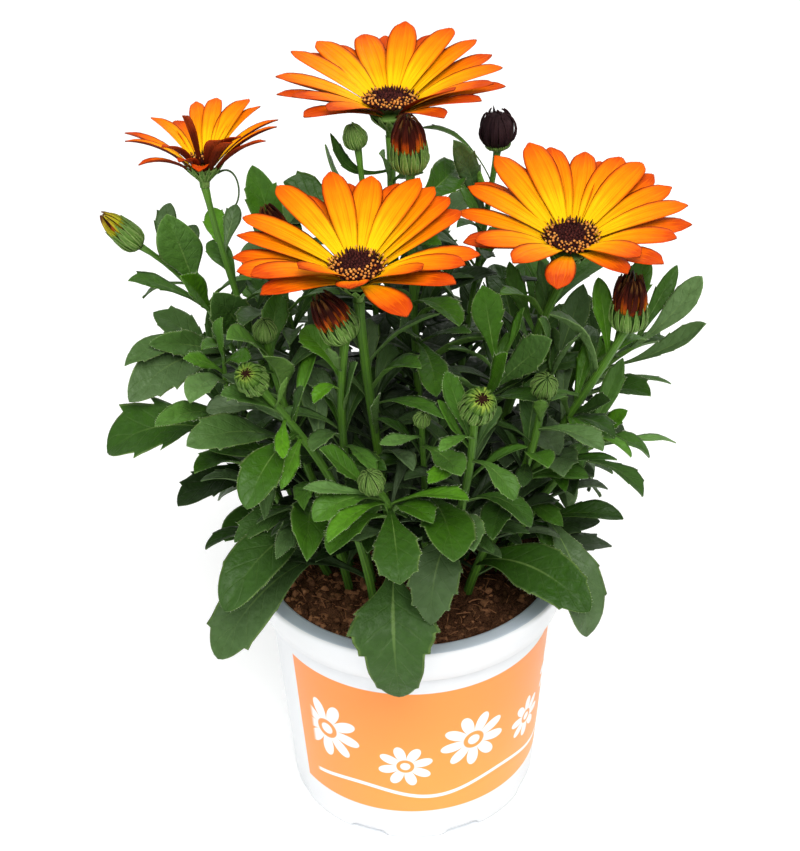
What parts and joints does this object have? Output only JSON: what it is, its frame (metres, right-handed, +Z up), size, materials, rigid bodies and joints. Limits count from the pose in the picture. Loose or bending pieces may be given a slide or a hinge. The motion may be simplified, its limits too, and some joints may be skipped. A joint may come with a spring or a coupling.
{
  "type": "potted osteospermum",
  "caption": "Osteospermum in bloom in a round nursery pot: orange daisy heads and dark buds on leafy shoots that stand in soil.",
  "frame": {"origin": "centre of the pot's underside, on the surface that it stands on", "axes": "+Z up along the pot's axis, -Y towards the plant's front, +X to the right as seen from the front"},
  "size_m": [0.2091, 0.208, 0.2908],
  "materials": {
    "pot_plastic": "gloss",
    "potting_soil": "matte",
    "foliage": "satin",
    "ray_florets": "satin",
    "disc_florets": "matte",
    "bud_dark": "satin",
    "bud_spent": "matte",
    "bud_yellow": "satin",
    "bud_opening": "matte"
  },
  "bodies": {
    "root": {"disc_bloom_front": "disc_florets", "disc_bloom_left": "disc_florets", "disc_bloom_rear": "disc_florets", "disc_bloom_right": "disc_florets", "pot": "pot_plastic", "rays_bloom_front": "ray_florets", "rays_bloom_left": "ray_florets", "rays_bloom_rear": "ray_florets", "rays_bloom_right": "ray_florets", "shoot_back": "foliage", "shoot_back_left": "foliage", "shoot_back_right": "foliage", "shoot_bloom_front": "foliage", "shoot_bloom_left": "foliage", "shoot_bloom_rear": "foliage", "shoot_bloom_right": "foliage", "shoot_bud_dark_right": "foliage", "shoot_bud_green_left": "foliage", "shoot_bud_green_right": "foliage", "shoot_bud_hidden": "foliage", "shoot_bud_high": "foliage", "shoot_bud_left": "foliage", "shoot_bud_low_front": "foliage", "shoot_bud_opening_front": "foliage", "shoot_bud_opening_left": "foliage", "shoot_bud_small": "foliage", "shoot_bud_striped": "foliage", "shoot_bud_under_front": "foliage", "shoot_centre": "foliage", "shoot_far_left": "foliage", "shoot_far_right": "foliage", "shoot_head_spent": "foliage", "shoot_left": "foliage", "shoot_low_back_left": "foliage", "shoot_low_back_right": "foliage", "shoot_low_right": "foliage", "shoot_mid_right": "foliage", "shoot_right": "foliage", "soil": "potting_soil", "tuft_bud_dark_right": "bud_dark", "tuft_bud_hidden": "bud_dark", "tuft_bud_left": "bud_yellow", "tuft_bud_opening_front": "bud_opening", "tuft_bud_opening_left": "bud_opening", "tuft_bud_striped": "bud_dark", "tuft_bud_under_front": "bud_dark", "tuft_head_spent": "bud_spent"}
  },
  "joints": []
}
